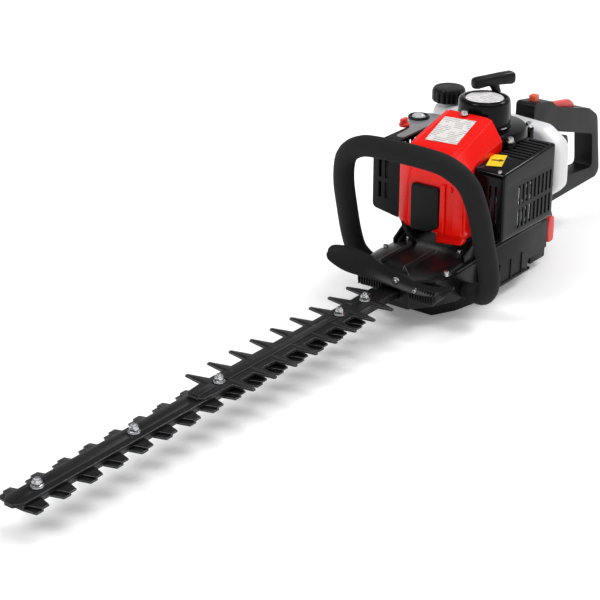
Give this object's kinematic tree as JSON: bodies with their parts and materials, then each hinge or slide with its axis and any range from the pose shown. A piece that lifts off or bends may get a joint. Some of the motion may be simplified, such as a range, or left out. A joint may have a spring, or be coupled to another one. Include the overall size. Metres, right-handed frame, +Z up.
{
  "type": "hedge trimmer",
  "caption": "Petrol hedge trimmer with a double-sided reciprocating blade, loop front handle, swivelling rear handle, upright-shaft two-stroke engine and recoil starter.",
  "frame": {"origin": "centre of the base's flat underside, on the floor, directly under the crankshaft", "axes": "+X along the blade to its tip, +Y to the operator's left (muffler side), +Z up"},
  "size_m": [1.0663, 0.2246, 0.244],
  "materials": {
    "tool_steel": "black-oxide ground steel",
    "zinc_steel": "zinc-plated steel",
    "bright_steel": "machined steel",
    "cast_aluminium": "die-cast, unpainted",
    "painted_case": "black satin paint on die-cast metal",
    "black_plastic": "moulded nylon, fine grain",
    "gloss_black": "moulded, polished",
    "soft_grip": "soft grip sleeve",
    "red_plastic": "moulded, glossy red",
    "orange_plastic": "moulded, orange red",
    "white_tank": "translucent white polyethylene",
    "clear_bulb": "clear soft bulb",
    "rubber_mount": "natural rubber",
    "white_rope": "braided cord",
    "porcelain": "glazed insulator",
    "filter_foam": "open foam"
  },
  "bodies": {
    "root": {"guide_bar": "tool_steel", "tooth_guard": "tool_steel", "blade_bolt_1": "zinc_steel", "blade_bolt_2": "zinc_steel", "blade_bolt_3": "zinc_steel", "blade_bolt_4": "zinc_steel", "blade_bolt_5": "zinc_steel", "gear_case": "painted_case", "gear_case_cover": "painted_case", "gear_bearing": "bright_steel", "hand_guard": "black_plastic", "clutch_housing": "cast_aluminium", "crankcase_lower": "cast_aluminium", "crankcase_upper": "cast_aluminium", "main_bearing_lower": "bright_steel", "main_bearing_upper": "bright_steel", "cylinder": "cast_aluminium", "spark_plug": "porcelain", "spark_plug_boot": "rubber_mount", "ignition_coil": "black_plastic", "engine_cover": "red_plastic", "plug_cover": "black_plastic", "starter_housing": "gloss_black", "starter_cap": "gloss_black", "muffler": "zinc_steel", "muffler_cover": "gloss_black", "carburetor": "cast_aluminium", "air_filter": "filter_foam", "air_box": "black_plastic", "fuel_tank": "white_tank", "base_frame": "black_plastic", "front_handle": "soft_grip", "handle_mount_left": "rubber_mount", "handle_mount_right": "rubber_mount"},
    "upper_cutter": {"upper_blade": "tool_steel", "upper_drive_rod": "bright_steel"},
    "lower_cutter": {"lower_blade": "tool_steel", "lower_drive_rod": "bright_steel"},
    "gear_train": {"drive_gear": "bright_steel"},
    "clutch_output": {"clutch_drum": "bright_steel"},
    "crank": {"crankshaft_lower": "bright_steel", "crankshaft_upper": "bright_steel", "flywheel": "cast_aluminium", "clutch_shoes": "bright_steel"},
    "piston_group": {"piston": "cast_aluminium", "wrist_pin": "bright_steel", "connecting_rod": "bright_steel", "crank_pin": "bright_steel"},
    "reel": {"starter_reel": "black_plastic", "starter_rope": "white_rope"},
    "pull_grip": {"starter_handle": "black_plastic"},
    "choke": {"choke_lever": "red_plastic"},
    "primer": {"primer_bulb": "clear_bulb"},
    "filler_cap": {"fuel_cap": "black_plastic"},
    "rear_grip": {"rear_handle": "black_plastic"},
    "trigger": {"throttle_trigger": "black_plastic"},
    "trigger_safety": {"trigger_lock": "red_plastic"},
    "switch": {"stop_switch": "orange_plastic"},
    "swivel_latch": {"swivel_lock": "red_plastic"}
  },
  "joints": [
    {"name": "upper_blade_stroke", "type": "slide", "parent": "root", "child": "upper_cutter", "axis": [1, 0, 0], "range_m": [-0.00525, 0.01225]},
    {"name": "lower_blade_stroke", "type": "slide", "parent": "root", "child": "lower_cutter", "axis": [1, 0, 0], "range_m": [-0.01225, 0.00525]},
    {"name": "drive_gear_spin", "type": "hinge", "parent": "root", "child": "gear_train", "pos_m": [0.05075, 0, 0.05], "axis": [0, 0, 1], "continuous": true},
    {"name": "clutch_drum_spin", "type": "hinge", "parent": "root", "child": "clutch_output", "pos_m": [0, 0, 0.06], "axis": [0, 0, 1], "continuous": true},
    {"name": "crank_spin", "type": "hinge", "parent": "root", "child": "crank", "pos_m": [0, 0, 0.112], "axis": [0, 0, 1], "continuous": true},
    {"name": "piston_stroke", "type": "slide", "parent": "root", "child": "piston_group", "axis": [1, 0, 0], "range_m": [-0.028, 0]},
    {"name": "starter_pull", "type": "slide", "parent": "root", "child": "pull_grip", "axis": [0, 0, 1], "range_m": [0, 0.6], "stiffness_N_per_m": 10, "springref_m": -0.3},
    {"name": "reel_spin", "type": "hinge", "parent": "root", "child": "reel", "pos_m": [0, 0, 0.171], "axis": [0, 0, 1], "range_deg": [0, 1640]},
    {"name": "choke_turn", "type": "hinge", "parent": "root", "child": "choke", "pos_m": [0.046, -0.082, 0.184], "axis": [0, 0, 1], "range_deg": [0, 75]},
    {"name": "primer_press", "type": "slide", "parent": "root", "child": "primer", "axis": [0, 0, -1], "range_m": [0, 0.004], "stiffness_N_per_m": 500, "springref_m": -0.001, "deforming": ["primer_bulb"]},
    {"name": "fuel_cap_turn", "type": "hinge", "parent": "root", "child": "filler_cap", "pos_m": [-0.073, -0.096, 0.184], "axis": [0, 0, 1], "range_deg": [0, 360]},
    {"name": "rear_handle_swivel", "type": "hinge", "parent": "root", "child": "rear_grip", "pos_m": [-0.1, 0, 0.04], "axis": [1, 0, 0], "range_deg": [-90, 90]},
    {"name": "swivel_lock_turn", "type": "hinge", "parent": "root", "child": "swivel_latch", "pos_m": [-0.09, 0.047, 0.04], "axis": [0, 1, 0], "range_deg": [0, 35], "stiffness_Nm_per_rad": 0.05, "springref_deg": -5.73},
    {"name": "throttle_pull", "type": "hinge", "parent": "rear_grip", "child": "trigger", "pos_m": [-0.156, 0, 0.146], "axis": [0, 1, 0], "range_deg": [0, 12], "stiffness_Nm_per_rad": 0.3, "springref_deg": -11.46},
    {"name": "trigger_lock_press", "type": "hinge", "parent": "rear_grip", "child": "trigger_safety", "pos_m": [-0.158, 0, 0.168], "axis": [0, -1, 0], "range_deg": [0, 8], "stiffness_Nm_per_rad": 0.2, "springref_deg": -11.46},
    {"name": "stop_switch_slide", "type": "slide", "parent": "rear_grip", "child": "switch", "axis": [1, 0, 0], "range_m": [0, 0.008]}
  ],
  "couplings": [
    {"joint": "lower_blade_stroke", "follows": "upper_blade_stroke", "ratio": -1},
    {"joint": "clutch_drum_spin", "follows": "drive_gear_spin", "ratio": -4.8},
    {"joint": "reel_spin", "follows": "starter_pull", "rad_per_m": 47.6}
  ]
}
